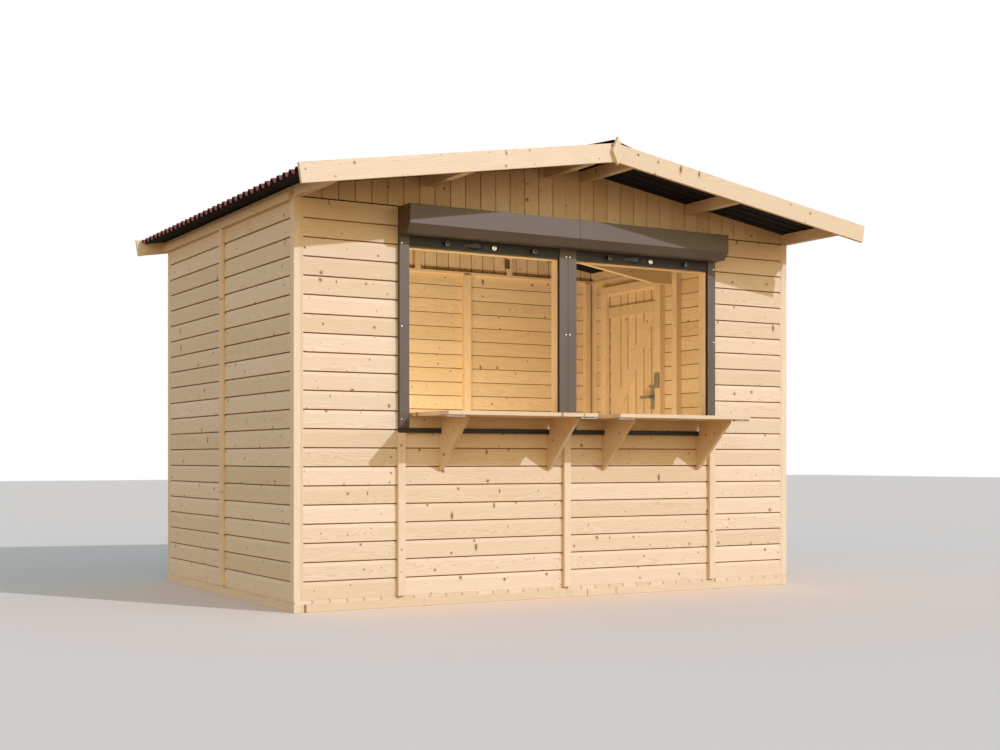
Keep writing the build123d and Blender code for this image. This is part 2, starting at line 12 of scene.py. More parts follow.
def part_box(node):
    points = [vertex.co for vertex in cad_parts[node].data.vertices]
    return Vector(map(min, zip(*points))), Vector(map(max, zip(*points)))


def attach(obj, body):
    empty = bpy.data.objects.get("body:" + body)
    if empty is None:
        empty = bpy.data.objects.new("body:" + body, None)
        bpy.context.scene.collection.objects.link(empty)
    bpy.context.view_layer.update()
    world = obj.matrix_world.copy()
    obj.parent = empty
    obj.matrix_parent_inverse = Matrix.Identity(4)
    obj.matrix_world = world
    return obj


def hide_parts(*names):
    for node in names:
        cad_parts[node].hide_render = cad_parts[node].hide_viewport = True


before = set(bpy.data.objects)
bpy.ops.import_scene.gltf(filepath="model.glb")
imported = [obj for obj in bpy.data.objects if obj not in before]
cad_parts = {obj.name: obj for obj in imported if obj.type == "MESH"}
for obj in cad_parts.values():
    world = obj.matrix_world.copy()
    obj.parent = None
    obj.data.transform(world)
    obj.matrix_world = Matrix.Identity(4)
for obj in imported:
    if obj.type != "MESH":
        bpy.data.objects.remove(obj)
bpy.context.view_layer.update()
mm = 0.001
chance = random.Random(11)
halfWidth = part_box("corner_posts")[1].x
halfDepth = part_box("corner_posts")[1].y
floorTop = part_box("floor_boards")[1].z
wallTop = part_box("corner_posts")[1].z
roofPitch = math.radians(9.2)
timberEase = 1.2 * mm  # how much is taken off a timber's sharp edges
same = 1e-5  # two places this near each other count as one
weld = 1e-6  # points this near each other become one


# Materials

def toLinear(hexColour):
    channels = [int(hexColour[i:i + 2], 16) / 255 for i in (1, 3, 5)]
    return [c / 12.92 if c <= 0.04045 else ((c + 0.055) / 1.055) ** 2.4 for c in channels] + [1.0]


def addNode(tree, kind, settings=None, inputs=None):
    # Inputs are values, sockets, or nodes, of which the first output in use is taken.
    node = tree.nodes.new("ShaderNode" + kind)
    for name, value in (settings or {}).items():
        if name == "ramp":
            stops = node.color_ramp.elements
            while len(stops) < len(value):
                stops.new(1)
            for element, (place, colour) in zip(stops, value):
                element.position = place
                element.color = colour
        else:
            setattr(node, name, value)
    for name, value in (inputs or {}).items():
        socket = node.inputs[name]
        if isinstance(value, bpy.types.Node):
            value = next(out for out in value.outputs if out.enabled)
        if isinstance(value, bpy.types.NodeSocket):
            tree.links.new(value, socket)
        else:
            socket.default_value = value
    return node


# Settings that many nodes share
times, timesPlus = {"operation": "MULTIPLY"}, {"operation": "MULTIPLY_ADD"}
blend, tintBy = {"data_type": "RGBA"}, {"data_type": "RGBA", "blend_type": "MULTIPLY"}
eased = {"interpolation_type": "SMOOTHSTEP"}


def startNodes(owner):
    # Clears the nodes of a material or the world, and hands back the function that adds one there.
    owner.use_nodes = True
    owner.node_tree.nodes.clear()
    return functools.partial(addNode, owner.node_tree)


spruceLook = {
    "early": "#E9CCA6",  # the soft wood between the rings
    "late": "#D2A574",  # the ring lines
    "warm": "#F3DDBE",  # a warm board's tint
    "cool": "#E2CBA4",  # a dull board's tint
    "knot": "#7E5936",
    "recess": "#94642F",  # painted shade on the tongues, down in the joints, where the joints' shadow falls
    "knotRim": "#B98A58",
    "plain": "#EBD4B2",  # the tint that leaves the wood as it is
    "ringMm": 4.6,
    "ringContrast": (0.25, 0.45),
    "pithSideMm": (-50, 50),  # where the log's middle lies, across the board and below its face
    "pithDeepMm": (15, 100),
    "wander": ((1.7, 4, 4), 85),  # how often in a metre the rings stray, and how many mm
    "wobble": ((14, 40, 40), 7),
    "patchPerMetre": (2.5, 22, 22),  # where the rings stand out more or less
    "fibreMm": 1.8,  # drawn coarser than the real 0.05 mm fibres, which don't show
    "fibreContrast": 0.10,
    "knotEveryMm": (130, 60),  # along and across a board
    "knotShare": 0.52,
    "knotRadiusMm": (1.5, 7.5),
    "smallKnots": 3.2,  # a higher power makes more of them small
    "knottyWidthMm": 60,  # narrower timbers are picked from clearer wood, with this share of the knots
    "clearShare": 0.25,
    "spike": 0.4,  # how flat a distance counts across the board, which draws some knots out
    "core": (1.15, 0.7),  # in knot radii, where the dark core starts and is full
    "halo": (2.4, 1.0),
    "coreShare": 0.9,
    "haloShare": 0.45,
    "swirl": (6, 1.6),  # how far out the rings bend round a knot, in knot radii, and how much
    "roughness": 0.62,
}


def makeSpruce(name, look):
    # Planed spruce, unfinished: pale straw with tan ring lines, small dark knots and a dull silky surface,
    # with painted shade down in the board joints.
    material = bpy.data.materials.new(name)
    add = startNodes(material)
    grain = add("Attribute", {"attribute_name": "grain"}).outputs["Vector"]
    board = add("Attribute", {"attribute_name": "board"}).outputs["Fac"]
    luck = add("TexWhiteNoise", {"noise_dimensions": "1D"}, {"W": board})
    seeds = add("SeparateColor", inputs={0: luck.outputs["Color"]})

    # The rings are cylinders round a pith line below the face, which wanders slowly along the board.
    slowOften, slowFar = look["wander"][0], look["wander"][1] * mm
    slowScale = add("VectorMath", times, {0: grain, 1: slowOften})
    slow = add("TexNoise", inputs={"Vector": slowScale, "Scale": 1, "Detail": 2})
    slowShift = add("VectorMath", timesPlus,
                    {0: slow.outputs["Color"], 1: (0, slowFar, slowFar),
                     2: (0, -slowFar / 2, -slowFar / 2)})
    often, far = look["wobble"][0], look["wobble"][1] * mm
    wobbleScale = add("VectorMath", times, {0: grain, 1: often})
    wobble = add("TexNoise", inputs={"Vector": wobbleScale, "Scale": 1, "Detail": 2})
    wobbleShift = add("VectorMath", timesPlus,
                      {0: wobble.outputs["Color"], 1: (0, far, far), 2: slowShift})
    left, right, near, deep = (size * mm for size in (*look["pithSideMm"], *look["pithDeepMm"]))
    pithSide = add("MapRange", inputs={0: seeds.outputs[0], 3: left, 4: right})
    pithDeep = add("MapRange", inputs={0: seeds.outputs[1], 3: near, 4: deep})
    pith = add("CombineXYZ", inputs={1: pithSide, 2: pithDeep})
    bent = add("VectorMath", {"operation": "ADD"}, {0: grain, 1: wobbleShift})
    fromPith = add("VectorMath", {"operation": "ADD"}, {0: bent, 1: pith})
    flat = add("VectorMath", times, {0: fromPith, 1: (0, 1, 1)})
    radius = add("VectorMath", {"operation": "LENGTH"}, {0: flat}).outputs["Value"]

    # Knots run through the board's thickness, so they depend on the place along and across it alone.
    alongMm, acrossMm = look["knotEveryMm"]
    grid = add("VectorMath", times, {0: grain, 1: (1000 / alongMm, 1000 / acrossMm, 0)})
    gridShift = add("CombineXYZ", inputs={1: board})
    gridAt = add("VectorMath", {"operation": "ADD"}, {0: grid, 1: gridShift})
    cells = add("TexVoronoi", {"voronoi_dimensions": "2D", "feature": "F1"},
                {"Vector": gridAt, "Scale": 1, "Randomness": 1})
    toKnot = add("VectorMath", {"operation": "SUBTRACT"}, {0: cells.outputs["Position"], 1: gridAt})
    knotLuck = add("SeparateColor", inputs={0: cells.outputs["Color"]})
    spike = add("MapRange", inputs={0: knotLuck.outputs[2], 1: 0.78, 2: 0.86, 3: 1, 4: look["spike"]})
    reach = add("CombineXYZ", inputs={0: alongMm * mm, 1: spike})
    toKnotWide = add("VectorMath", times, {0: toKnot, 1: reach})
    toKnotFlat = add("VectorMath", times, {0: toKnotWide, 1: (1, acrossMm * mm, 0)})
    knotGap = add("VectorMath", {"operation": "LENGTH"}, {0: toKnotFlat}).outputs["Value"]
    small, large = (r * mm for r in look["knotRadiusMm"])
    skew = add("Math", {"operation": "POWER"}, {0: knotLuck.outputs[0], 1: look["smallKnots"]})
    knotSize = add("MapRange", inputs={0: skew, 3: small, 4: large})
    knotty = add("Attribute", {"attribute_name": "knotty"}).outputs["Fac"]
    share = add("Math", times, {0: knotty, 1: look["knotShare"]})
    there = add("Math", {"operation": "LESS_THAN"}, {0: knotLuck.outputs[1], 1: share})
    knotRadius = add("Math", timesPlus, {0: knotSize, 1: there, 2: 0.00001})
    rough = add("TexNoise", inputs={"Vector": grain, "Scale": 170, "Detail": 2})
    ragged = add("MapRange", inputs={0: rough.outputs[0], 3: 0.7, 4: 1.3})
    inRadii = add("Math", {"operation": "DIVIDE"}, {0: knotGap, 1: knotRadius})
    inRaggedRadii = add("Math", times, {0: inRadii, 1: ragged})
    (coreStart, coreFull), (haloStart, haloFull) = look["core"], look["halo"]
    core = add("MapRange", eased, {0: inRaggedRadii, 1: coreStart, 2: coreFull, 3: 0, 4: 1})
    halo = add("MapRange", eased, {0: inRaggedRadii, 1: haloStart, 2: haloFull, 3: 0, 4: 1})
    swirl = add("MapRange", {"interpolation_type": "SMOOTHERSTEP"},
                {0: inRadii, 1: look["swirl"][0], 2: 0, 3: 0, 4: 1})
    push = add("Math", times, {0: swirl, 1: knotRadius})
    swollen = add("Math", timesPlus, {0: push, 1: look["swirl"][1], 2: radius})

    ringCount = add("Math", {"operation": "DIVIDE"}, {0: swollen, 1: look["ringMm"] * mm})
    ring = add("Math", {"operation": "FRACT"}, {0: ringCount})
    ringLine = add("MapRange", eased, {0: ring, 1: 0.35, 2: 0.95, 3: 0, 4: 1})
    patchScale = add("VectorMath", times, {0: grain, 1: look["patchPerMetre"]})
    patch = add("TexNoise", inputs={"Vector": patchScale, "Scale": 1, "Detail": 2})
    faint, strong = look["ringContrast"]
    ringDepth = add("MapRange", inputs={0: patch.outputs[0], 1: 0.3, 2: 0.7, 3: faint, 4: strong})
    ringMask = add("Math", times, {0: ringLine, 1: ringDepth})
    fibreScale = add("VectorMath", times,
                     {0: grain, 1: (9, 1000 / look["fibreMm"], 1000 / look["fibreMm"])})
    fibre = add("TexNoise", inputs={"Vector": fibreScale, "Scale": 1, "Detail": 3})

    wood = add("Mix", blend, {0: ringMask, 6: toLinear(look["early"]), 7: toLinear(look["late"])})
    tint = add("Mix", blend, {0: seeds.outputs[2], 6: toLinear(look["warm"]), 7: toLinear(look["cool"])})
    tintLift = add("Mix", {"data_type": "RGBA", "blend_type": "DIVIDE"},
                   {0: 1.0, 6: tint, 7: toLinear(look["plain"])})
    tinted = add("Mix", tintBy, {0: 1.0, 6: wood, 7: tintLift})
    fibreTone = add("MapRange",
                    inputs={0: fibre.outputs[0], 1: 0.25, 2: 0.75,
                            3: 1 - look["fibreContrast"], 4: 1 + look["fibreContrast"]})
    fibred = add("Mix", tintBy, {0: 1.0, 6: tinted, 7: fibreTone})
    haloShare = add("Math", times, {0: halo, 1: look["haloShare"]})
    rimmed = add("Mix", blend, {0: haloShare, 6: fibred, 7: toLinear(look["knotRim"])})
    coreShare = add("Math", times, {0: core, 1: look["coreShare"]})
    knotted = add("Mix", blend, {0: coreShare, 6: rimmed, 7: toLinear(look["knot"])})

    # The tongues and hollow sides down in the joints get a darker painted shade that stands in for the
    # shadow in the joints.
    recess = add("Attribute", {"attribute_name": "recess"}).outputs["Fac"]
    withJointShade = add("Mix", blend, {0: recess, 6: knotted, 7: toLinear(look["recess"])})

    dip = add("Math", timesPlus, {0: ringMask, 1: 0.5, 2: fibre.outputs[0]})
    bump = add("Bump", inputs={"Strength": 0.35, "Distance": 0.6 * mm, "Height": dip})
    shader = add("BsdfPrincipled",
                 inputs={"Base Color": withJointShade, "Roughness": look["roughness"],
                         "Specular IOR Level": 0.3, "Normal": bump})
    add("OutputMaterial", inputs={"Surface": shader})
    return material


fittingLook = {
    "shutter": "#5F4F3F",  # brown metallic powder coat
    "rail": "#2E2620",  # dark anodised aluminium
    "strap": "#171513",  # black enamel
    "zinc": "#F0EEE8",
    "galvanised": "#A9ABAC",
    "plastic": "#17181A",
    # the seal's near-black colour is painted shade, standing in for the shadow line at the gable's foot
    "foam": "#1E150E",
    "darkBrownPlate": "#6B5238",
    "peelMm": 1.6,  # orange peel of the powder, drawn coarser than the real 0.6 mm
    "spangleMm": 7,
}


def makePowderCoat(name, colour, roughness, metallic=0.0):
    # A coated or polished metal part: an even, finely dimpled skin, whose highlight is wide and soft on
    # powder coat, anodising and enamel, and tight and bright on polished zinc.
    material = bpy.data.materials.new(name)
    add = startNodes(material)
    place = add("TexCoord").outputs["Object"]
    peel = add("TexNoise", inputs={"Vector": place, "Scale": 1000 / fittingLook["peelMm"], "Detail": 2})
    cloud = add("TexNoise", inputs={"Vector": place, "Scale": 6, "Detail": 3})
    tone = add("MapRange", inputs={0: cloud.outputs[0], 1: 0.3, 2: 0.7, 3: 0.93, 4: 1.06})
    toned = add("Mix", tintBy, {0: 1.0, 6: toLinear(colour), 7: tone})
    dull = add("MapRange",
               inputs={0: cloud.outputs[0], 1: 0.3, 2: 0.7, 3: roughness - 0.04, 4: roughness + 0.05})
    bump = add("Bump", inputs={"Strength": 0.12, "Distance": 0.2 * mm, "Height": peel.outputs[0]})
    shader = add("BsdfPrincipled",
                 inputs={"Base Color": toned, "Roughness": dull, "Metallic": metallic, "Normal": bump})
    add("OutputMaterial", inputs={"Surface": shader})
    return material


def makeGalvanised(name, colour, roughness):
    # Hot-dip galvanised steel: a light grey metal with large soft crystals.
    material = bpy.data.materials.new(name)
    add = startNodes(material)
    place = add("TexCoord").outputs["Object"]
    spangle = add("TexVoronoi", inputs={"Vector": place, "Scale": 1000 / fittingLook["spangleMm"]})
    grey = add("SeparateColor", inputs={0: spangle.outputs["Color"]})
    tone = add("MapRange", inputs={0: grey.outputs[0], 3: 0.86, 4: 1.08})
    toned = add("Mix", tintBy, {0: 1.0, 6: toLinear(colour), 7: tone})
    dull = add("MapRange", inputs={0: grey.outputs[1], 3: roughness - 0.06, 4: roughness + 0.08})
    shader = add("BsdfPrincipled", inputs={"Base Color": toned, "Roughness": dull, "Metallic": 1.0})
    add("OutputMaterial", inputs={"Surface": shader})
    return material


def makePlastic(name, colour, roughness):
    # Moulded plastic, foam or a dark brown plate: one colour with a fine matt grain.
    material = bpy.data.materials.new(name)
    add = startNodes(material)
    place = add("TexCoord").outputs["Object"]
    grainNoise = add("TexNoise", inputs={"Vector": place, "Scale": 900, "Detail": 2})
    tone = add("MapRange", inputs={0: grainNoise.outputs[0], 3: 0.9, 4: 1.1})
    toned = add("Mix", tintBy, {0: 1.0, 6: toLinear(colour), 7: tone})
    bump = add("Bump", inputs={"Strength": 0.1, "Distance": 0.1 * mm, "Height": grainNoise.outputs[0]})
    shader = add("BsdfPrincipled", inputs={"Base Color": toned, "Roughness": roughness, "Normal": bump})
    add("OutputMaterial", inputs={"Surface": shader})
    return material


bitumenLook = {
    "red": "#8A4837",
    "black": "#211916",
    "fibreMm": 2.5,  # matted fibres, drawn coarser than the real 0.5 mm
    "roughness": 0.82,
}


def makeBitumen(name, colour):
    # Bitumen-soaked fibre sheet: matt, slightly mottled and felt-like to the eye.
    material = bpy.data.materials.new(name)
    add = startNodes(material)
    place = add("TexCoord").outputs["Object"]
    fibre = add("TexNoise",
                inputs={"Vector": place, "Scale": 1000 / bitumenLook["fibreMm"],
                        "Detail": 4, "Distortion": 1.5})
    cloud = add("TexNoise", inputs={"Vector": place, "Scale": 9, "Detail": 4})
    both = add("Math", times, {0: fibre.outputs[0], 1: cloud.outputs[0]})
    tone = add("MapRange", inputs={0: both, 1: 0.12, 2: 0.4, 3: 0.75, 4: 1.3})
    toned = add("Mix", tintBy, {0: 1.0, 6: toLinear(colour), 7: tone})
    bump = add("Bump", inputs={"Strength": 0.35, "Distance": 0.6 * mm, "Height": fibre.outputs[0]})
    shader = add("BsdfPrincipled",
                 inputs={"Base Color": toned, "Roughness": bitumenLook["roughness"],
                         "Specular IOR Level": 0.25, "Normal": bump})
    add("OutputMaterial", inputs={"Surface": shader})
    return material


spruce = makeSpruce("planed_spruce", spruceLook)
shutterCoat = makePowderCoat("metallic_powder_coat", fittingLook["shutter"], 0.42, 0.32)
railCoat = makePowderCoat("dark_anodised_rail", fittingLook["rail"], 0.5, 0.2)
bitumenRed = makeBitumen("red_bitumen_sheet", bitumenLook["red"])
bitumenBlack = makeBitumen("black_bitumen_underside", bitumenLook["black"])
sealShadePaint = makePlastic("foam_seal_dark_for_shade", fittingLook["foam"], 0.9)
darkBrownPlate = makePlastic("dark_brown_plate", fittingLook["darkBrownPlate"], 0.85)
darkStrap = makePowderCoat("black_enamelled_strap", fittingLook["strap"], 0.28)
galvanised = makeGalvanised("galvanised_steel", fittingLook["galvanised"], 0.38)
blackPlastic = makePlastic("moulded_black_plastic", fittingLook["plastic"], 0.45)
brightZinc = makePowderCoat("polished_zinc", fittingLook["zinc"], 0.2, 1.0)
print("materials made")


# Ways of making timber

def finishPiece(name, bm, material, body="stall", stands=(), slotName="spruce", smoothAngle=None):
    bmesh.ops.recalc_face_normals(bm, faces=bm.faces)
    mesh = bpy.data.meshes.new(name)
    bm.to_mesh(mesh)
    bm.free()
    mesh.materials.append(material)
    if smoothAngle is not None:
        mesh.polygons.foreach_set("use_smooth", [True] * len(mesh.polygons))
        mesh.set_sharp_from_angle(angle=math.radians(smoothAngle))
    piece = bpy.data.objects.new(name, mesh)
    bpy.context.scene.collection.objects.link(piece)
    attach(piece, body)
    if stands:
        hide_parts(*stands)
    return piece


def newTimber():
    bm = bmesh.new()
    bm.verts.layers.float_vector.new("grain")
    for layer in ("board", "knotty", "recess"):
        bm.verts.layers.float.new(layer)
    return bm


def once(items):
    # Each item once, in the order it comes, so that every run builds the same stall.
    return list(dict.fromkeys(items))


def joinInto(bm, other):
    spare = bpy.data.meshes.new("spare")
    other.to_mesh(spare)
    other.free()
    bm.from_mesh(spare)
    bpy.data.meshes.remove(spare)


def markGrain(bm, verts, toBoard, width=1.0):
    # Every board gets its own stretch of a log 60 m long, and a number for its tint and its rings.
    grainLayer = bm.verts.layers.float_vector["grain"]
    boardLayer = bm.verts.layers.float["board"]
    knottyLayer = bm.verts.layers.float["knotty"]
    number = chance.random()
    start = Vector((number * 60, 0, 0))
    for vert in verts:
        vert[grainLayer] = toBoard @ vert.co + start
        vert[boardLayer] = number
        vert[knottyLayer] = 1.0 if width > spruceLook["knottyWidthMm"] * mm else spruceLook["clearShare"]


def addOutline(bm, outline, place, length, cuts=(), tongue=None):
    # Pushes an outline in y and z along x, puts it in place and trims it by planes given as (point, away).
    # What lies in the joint, given as the y where it opens and the two z between, is marked for a darker
    # painted shade that stands in for the joint's shadow.
    corners = [bm.verts.new((0, y, z)) for y, z in outline]
    face = bm.faces.new(corners)
    grown = bmesh.ops.extrude_face_region(bm, geom=[face])["geom"]
    far = [item for item in grown if isinstance(item, bmesh.types.BMVert)]
    bmesh.ops.translate(bm, verts=far, vec=(length, 0, 0))
    verts = corners + far
    bmesh.ops.transform(bm, matrix=place, verts=verts)
    for point, away in cuts:
        edges = once(edge for vert in verts for edge in vert.link_edges)
        faces = once(face for vert in verts for face in vert.link_faces)
        cut = bmesh.ops.bisect_plane(bm, geom=[*verts, *edges, *faces], dist=weld,
                                     plane_co=point, plane_no=away, clear_outer=True)
        verts = [vert for vert in verts if vert.is_valid]
        newVerts = [item for item in cut["geom_cut"] if isinstance(item, bmesh.types.BMVert)]
        verts = once(verts + newVerts)
        rim = [item for item in cut["geom_cut"] if isinstance(item, bmesh.types.BMEdge)]
        if rim:
            bmesh.ops.holes_fill(bm, edges=rim)
    toBoard = place.inverted()
    markGrain(bm, verts, toBoard)
    if tongue:
        # Points down in the joint get the painted shade that stands in for the joint's shadow.
        recess = bm.verts.layers.float["recess"]
        for vert in verts:
            spot = toBoard @ vert.co
            inJoint = spot.y > tongue[0] - same or spot.y < same
            if inJoint and tongue[1] - same < spot.z < tongue[2] + same:
                vert[recess] = 1.0
    return verts


def addBeam(bm, low, high, edge=timberEase):
    # A straight timber between two corners, with its grain along the longest side.
    size = [b - a for a, b in zip(low, high)]
    middle = [(a + b) / 2 for a, b in zip(low, high)]
    order = sorted(range(3), key=lambda axis: -size[axis])
    along, across, deep = (Vector([1.0 if axis == k else 0.0 for k in range(3)]) for axis in order)
    place = Matrix((along, across, deep)).transposed().to_4x4()
    place.translation = Vector(middle)
    made = bmesh.ops.create_cube(bm, size=1)["verts"]
    bmesh.ops.scale(bm, vec=[size[axis] for axis in order], verts=made)
    edges = once(item for vert in made for item in vert.link_edges)
    bevelled = bmesh.ops.bevel(bm, geom=edges, offset=edge, segments=1, profile=0.5,
                               affect="EDGES", material=-1, clamp_overlap=True)["verts"]
    bmesh.ops.transform(bm, matrix=place, verts=bevelled)
    toBoard = place.inverted()
    markGrain(bm, bevelled, Matrix.Translation((0, 0, size[order[2]] / 2)) @ toBoard, size[order[1]])


def islandsOf(bm):
    # The points of each solid in turn.
    waiting = dict.fromkeys(bm.verts)
    while waiting:
        island, nextOnes = [], [waiting.popitem()[0]]
        while nextOnes:
            vert = nextOnes.pop()
            island.append(vert)
            for edge in vert.link_edges:
                other = edge.other_vert(vert)
                if other in waiting:
                    del waiting[other]
                    nextOnes.append(other)
        yield island


def markIslands(bm, along=None):
    # The grain runs along each solid's longest edge, or as given, and its largest face is a board's face.
    for island in list(islandsOf(bm)):
        faces = once(face for vert in island for face in vert.link_faces)
        edges = once(edge for vert in island for edge in vert.link_edges)
        deep = max(faces, key=lambda face: face.calc_area()).normal.copy()
        longest = max(edges, key=lambda edge: edge.calc_length())
        run = Vector(along) if along else longest.verts[1].co - longest.verts[0].co
        run = (run - deep * run.dot(deep)).normalized()
        middle = sum((vert.co for vert in island), Vector()) / len(island)
        thick = max(vert.co.dot(deep) for vert in island) - min(vert.co.dot(deep) for vert in island)
        toBoard = Matrix((run, deep.cross(run), deep)).to_4x4() @ Matrix.Translation(-middle)
        across = [(toBoard @ vert.co).y for vert in island]
        markGrain(bm, island, Matrix.Translation((0, 0, thick / 2)) @ toBoard, max(across) - min(across))


def takeNodes(bm, nodes):
    # The nodes' own shapes, with their flat faces whole again.
    for node in nodes:
        bm.from_mesh(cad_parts[node].data)
    bmesh.ops.remove_doubles(bm, verts=bm.verts, dist=weld)
    bmesh.ops.dissolve_limit(bm, angle_limit=math.radians(0.4), verts=bm.verts, edges=bm.edges)


def bevelSharp(bm, edge, angle=25):
    sharp = [item for item in bm.edges if len(item.link_faces) == 2
             and item.calc_face_angle(0) > math.radians(angle)]
    bmesh.ops.bevel(bm, geom=sharp, offset=edge, segments=1, profile=0.5,
                    affect="EDGES", material=-1, clamp_overlap=True)


def dressTimber(name, nodes, along=None, body="stall", halves=False):
    # The node's own timbers with their edges eased and the grain along each.
    bm = newTimber()
    takeNodes(bm, nodes)
    if halves:  # a truss is one solid, but its two rafters meet at the middle
        other = bm.copy()
        for part, away in ((bm, (1, 0, 0)), (other, (-1, 0, 0))):
            cut = bmesh.ops.bisect_plane(part, geom=[*part.verts, *part.edges, *part.faces], dist=weld,
                                         plane_co=(0, 0, 0), plane_no=away, clear_outer=True)
            rim = [item for item in cut["geom_cut"] if isinstance(item, bmesh.types.BMEdge)]
            bmesh.ops.holes_fill(part, edges=rim)
        joinInto(bm, other)
    bevelSharp(bm, timberEase)
    markIslands(bm, along)
    finishPiece(name, bm, spruce, body=body, stands=nodes)


# Horizontal cladding of the walls

cladding = {
    "coverMm": 91,
    "gapMm": 5.6,  # open joint above each board, outside
    "backGapMm": 4.5,  # and inside
    "scoopMm": (17, 5),  # height and depth of the hollow under each joint
    "lipMm": (1, 1.1),  # height and depth of the step where the hollow starts
    "bend": (0.35, 0.6),  # where the hollow turns, as shares of its height and depth
    "tongueMm": (10, 12.5),  # the tongue's faces, from the outer face
    "easeMm": 1.2,
}
cover = cladding["coverMm"] * mm
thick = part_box("left_wall")[1].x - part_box("left_wall")[0].x


def claddingOutline(width):
    # From the lower edge (y = 0) to the next board's (y = width); z = 0 is the outer face.
    ease = cladding["easeMm"] * mm
    scoopHigh, scoopDeep = (size * mm for size in cladding["scoopMm"])
    tongueFront, tongueBack = (size * mm for size in cladding["tongueMm"])
    lipHigh, lipDeep = (size * mm for size in cladding["lipMm"])
    bendHigh, bendDeep = cladding["bend"]
    top, back = width - cladding["gapMm"] * mm, width - cladding["backGapMm"] * mm
    outline = [(ease, 0), (top - scoopHigh, 0), (top - scoopHigh + lipHigh, lipDeep),
               (top - scoopHigh * bendHigh, scoopDeep * bendDeep), (top, scoopDeep), (top, tongueFront),
               (width, tongueFront), (width, tongueBack), (back, tongueBack), (back, thick - ease),
               (back - ease, thick), (ease, thick), (0, thick - ease), (0, ease)]
    return outline, (top, tongueFront, tongueBack)


def layCladding(bm, low, high, outward):
    # Rows of boards on the wall grid, trimmed where a panel starts or ends within a row.
    alongX = abs(outward[1]) > 0
    outward = Vector(outward)
    along = Vector((1, 0, 0)) if alongX else Vector((0, 1, 0))
    if outward.dot(Vector(high) - Vector(low)) > 0:
        face = high.y if alongX else high.x
    else:
        face = low.y if alongX else low.x
    start, end = (low.x, high.x) if alongX else (low.y, high.y)
    place = Matrix((along, (0, 0, 1), -outward)).transposed().to_4x4()
    row = math.floor((low.z - floorTop) / cover + 1e-4)
    while floorTop + row * cover < high.z - 1 * mm:
        bottom = floorTop + row * cover
        corner = Vector((start, face, bottom)) if alongX else Vector((face, start, bottom))
        place.translation = corner
        cuts = []
        if bottom < low.z - same:
            cuts.append(((0, 0, low.z), (0, 0, -1)))
        if bottom + cover > high.z + same:
            cuts.append(((0, 0, high.z), (0, 0, 1)))
        outline, tongue = claddingOutline(cover)
        addOutline(bm, outline, place, end - start, cuts, tongue)
        row += 1


def solidsOf(node):
    # The low and high corner of each solid of a node.
    bm = bmesh.new()
    bm.from_mesh(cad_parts[node].data)
    bmesh.ops.remove_doubles(bm, verts=bm.verts, dist=weld)
    corners = []
    for island in islandsOf(bm):
        corners.append((Vector([min(v.co[k] for v in island) for k in range(3)]),
                        Vector([max(v.co[k] for v in island) for k in range(3)])))
    bm.free()
    return sorted(corners, key=lambda pair: tuple(pair[0]))


def splitAt(pair, axis, places):
    # The corners of the lengths that a solid is made of, where it is joined along an axis.
    low, high = pair
    stops = [low[axis]] + [place for place in places if low[axis] < place < high[axis]] + [high[axis]]
    for a, b in zip(stops[:-1], stops[1:]):
        pieceLow, pieceHigh = low.copy(), high.copy()
        pieceLow[axis], pieceHigh[axis] = a, b
        yield pieceLow, pieceHigh


panelJoints = {  # where one wall panel meets the next, behind a batten
    "front_side_panels": (0, ()),
    "front_apron": (0, (0.0,)),
    "front_lintel": (0, (0.0,)),
    "left_wall": (1, (0.0,)),
    "right_wall": (1, (0.0,)),
    "right_wall_over_door": (1, ()),
    "rear_wall": (0, (-0.478, 0.478)),
}
outwards = {"front": (0, -1, 0), "left": (-1, 0, 0), "right": (1, 0, 0), "rear": (0, 1, 0)}
for node, (axis, joints) in panelJoints.items():
    bm = newTimber()
    side = "right" if node.startswith("right") else node.split("_")[0]
    for solid in solidsOf(node):
        for low, high in splitAt(solid, axis, joints):
            layCladding(bm, low, high, outwards[side])
    finishPiece(node + "_boards", bm, spruce, stands=[node])
print("walls clad")


# Gables of upright boards

gable = {
    "coverMm": 87,
    "firstMm": (81, 92),  # width of the first board to the left and right of the middle
    "grooveMm": 3.2,
    "openMm": 3,
    "sealMm": (6, 2.5),  # the sealing strip's height, and how far it lies back; its near-black colour is painted shade for the shadow line at the gable's foot
    "topPurlinMm": 94.5,  # the upper purlins' inner top edge, from the middle
}
upright = {  # the joint of upright boards
    "tongueShares": (0.45, 0.62),  # the tongue's faces, as shares of the thickness
    "grooveSlope": 0.8,
    "backGrooveMm": 1.5,
}
roofRise = math.tan(roofPitch)
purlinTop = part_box("ridge_purlins")[1]


def gableTop(x):
    ridgeZ = purlinTop.z + roofRise * gable["topPurlinMm"] * mm
    return ridgeZ - roofRise * abs(x)


def uprightOutline(width, depth, groove, gap, backGroove=upright["backGrooveMm"] * mm):
    # An upright tongued board with bevelled long edges on both faces; y runs across it.
    edge, slope = width - gap, groove * upright["grooveSlope"]
    front, back = (depth * share for share in upright["tongueShares"])
    outline = [(groove, 0), (edge - groove, 0), (edge, slope), (edge, front), (width, front),
               (width, back), (edge, back), (edge, depth - backGroove), (edge - backGroove, depth),
               (backGroove, depth), (0, depth - backGroove), (0, slope)]
    return outline, (edge, front, depth - backGroove)


